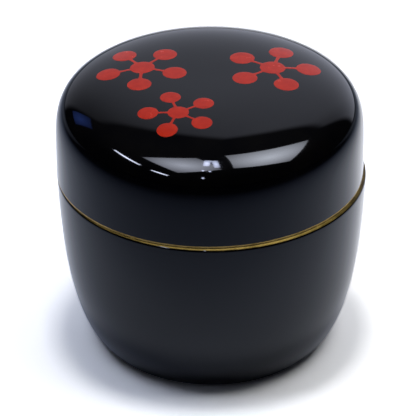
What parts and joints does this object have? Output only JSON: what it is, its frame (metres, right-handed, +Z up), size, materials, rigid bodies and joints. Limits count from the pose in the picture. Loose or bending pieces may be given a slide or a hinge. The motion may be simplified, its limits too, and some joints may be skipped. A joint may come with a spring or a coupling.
{
  "type": "lacquered tea caddy",
  "caption": "Round lacquered tea caddy with a domed lid that drops over an upright collar, gold line at the seam and red blossoms on the lid.",
  "frame": {"origin": "centre of the foot, on the surface that the caddy stands on", "axes": "+Z up along the axis that body and lid are turned about; the smallest blossom lies towards -Y, which is the front"},
  "size_m": [0.0701, 0.07, 0.0659],
  "materials": {
    "turned_wood": "turned, covered by lacquer",
    "black_lacquer": "high gloss",
    "gold_lacquer": "soft satin, rubbed gold powder",
    "red_lacquer": "gloss"
  },
  "bodies": {
    "caddy_body": {"body_core": "turned_wood", "body_outer_lacquer": "black_lacquer", "body_inner_lacquer": "black_lacquer", "base_lacquer": "black_lacquer", "body_gold_rim": "gold_lacquer"},
    "lid": {"lid_core": "turned_wood", "lid_outer_lacquer": "black_lacquer", "lid_inner_lacquer": "black_lacquer", "lid_gold_rim": "gold_lacquer", "plum_blossom_left": "red_lacquer", "plum_blossom_right": "red_lacquer", "plum_blossom_front": "red_lacquer"}
  },
  "joints": [
    {"name": "lid_lift", "type": "slide", "parent": "caddy_body", "child": "lid", "axis": [0, 0, 1], "range_m": [0, 0.05]}
  ]
}
